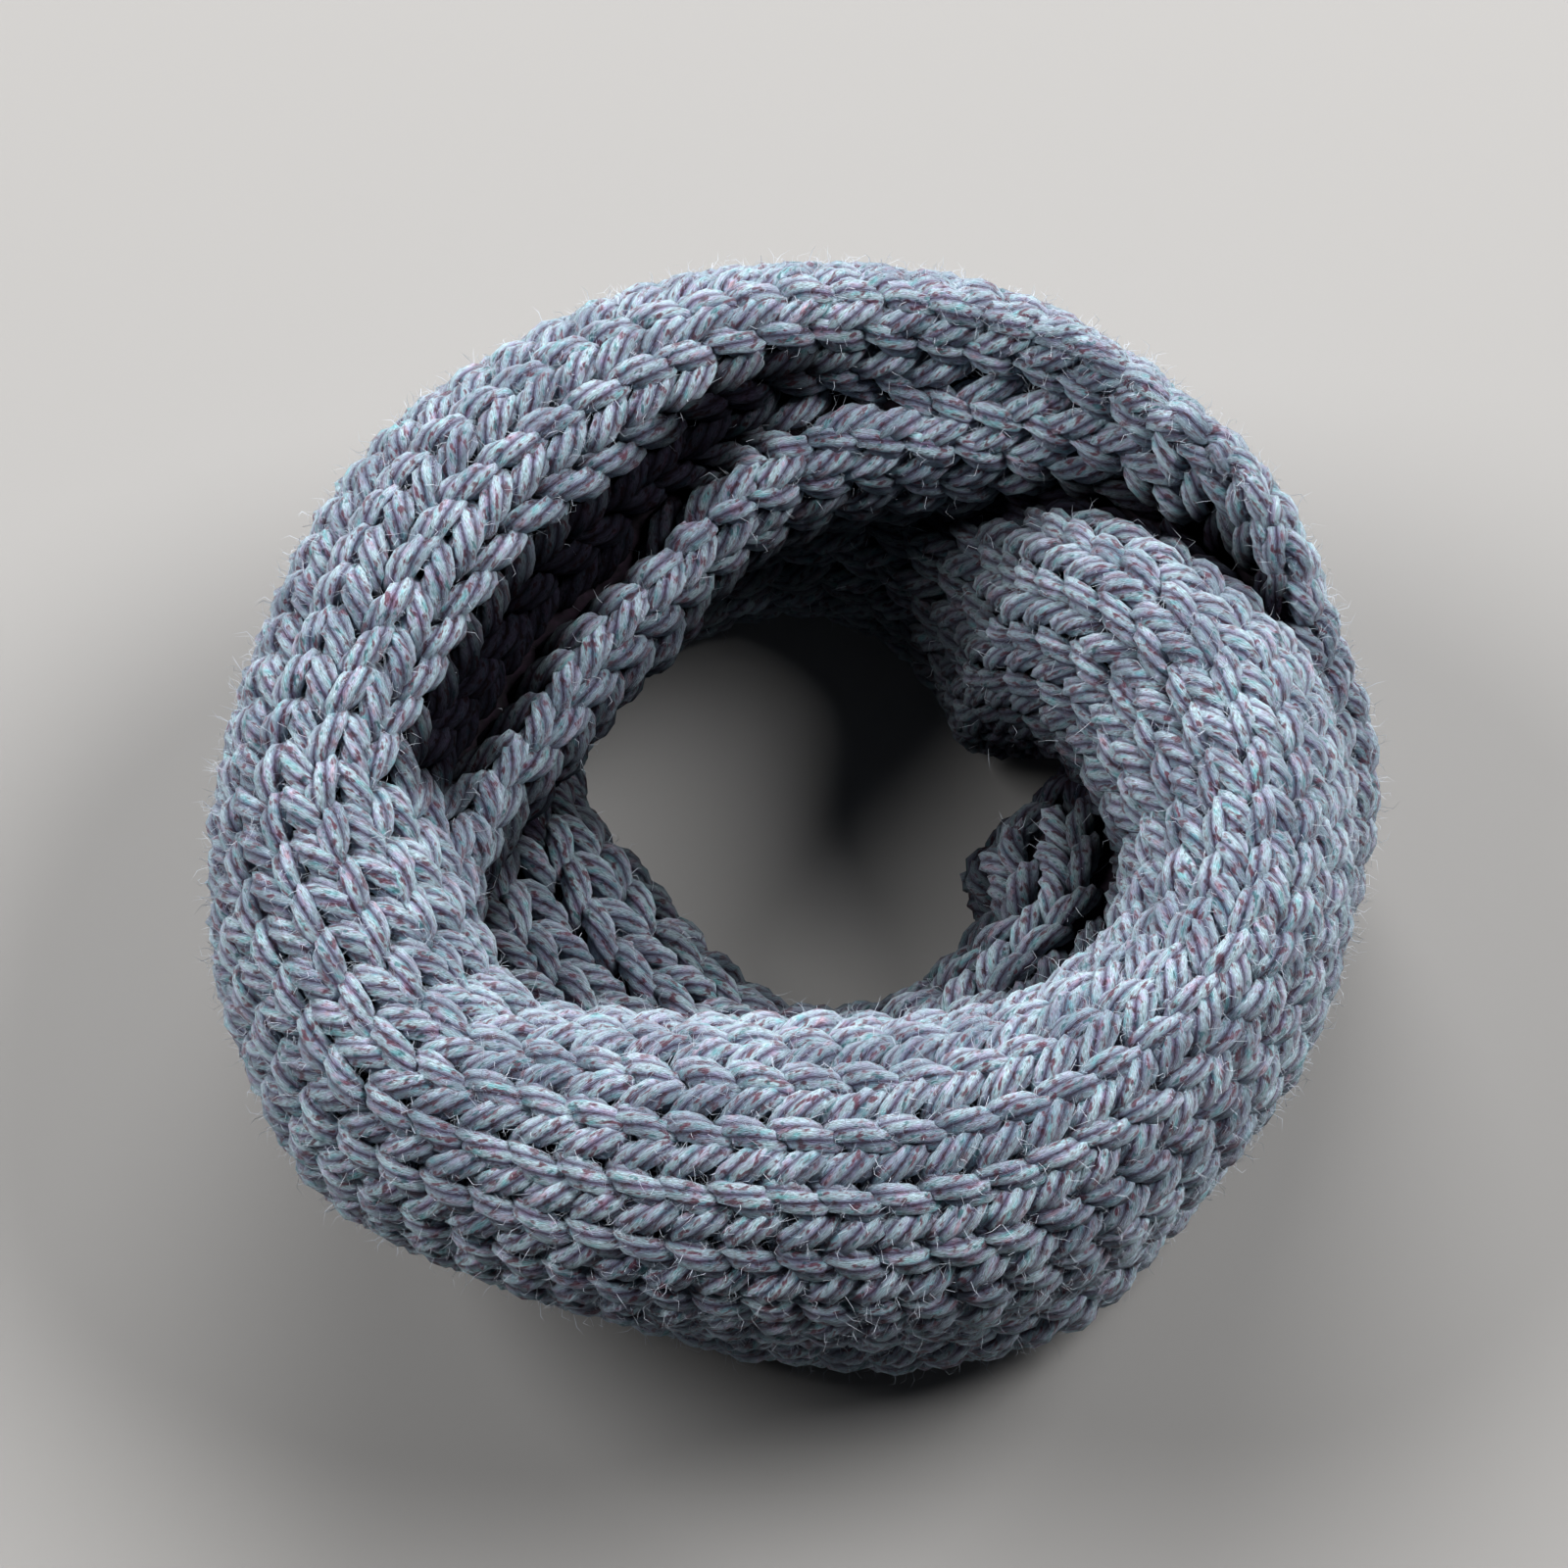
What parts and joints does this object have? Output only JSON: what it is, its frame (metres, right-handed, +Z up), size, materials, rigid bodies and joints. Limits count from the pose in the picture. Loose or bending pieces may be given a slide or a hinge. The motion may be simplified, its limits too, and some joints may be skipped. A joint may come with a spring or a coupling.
{
  "type": "infinity scarf",
  "caption": "Closed band of chunky stockinette knitting wound twice into a soft ring, lying flat, with an open middle for the neck.",
  "frame": {"origin": "on the surface it lies on, under the middle of its box", "axes": "+Z up through the ring's open middle, -Y to the front, where the upper turn lies on top"},
  "size_m": [0.2364, 0.2272, 0.1056],
  "materials": {
    "wool_knit": "matt heathered wool"
  },
  "bodies": {
    "root": {"upper_back_stretch": "wool_knit", "upper_left_stretch": "wool_knit", "upper_front_stretch": "wool_knit", "upper_right_stretch": "wool_knit", "lower_back_stretch": "wool_knit", "lower_left_stretch": "wool_knit", "lower_front_stretch": "wool_knit", "lower_right_stretch": "wool_knit"}
  },
  "joints": []
}
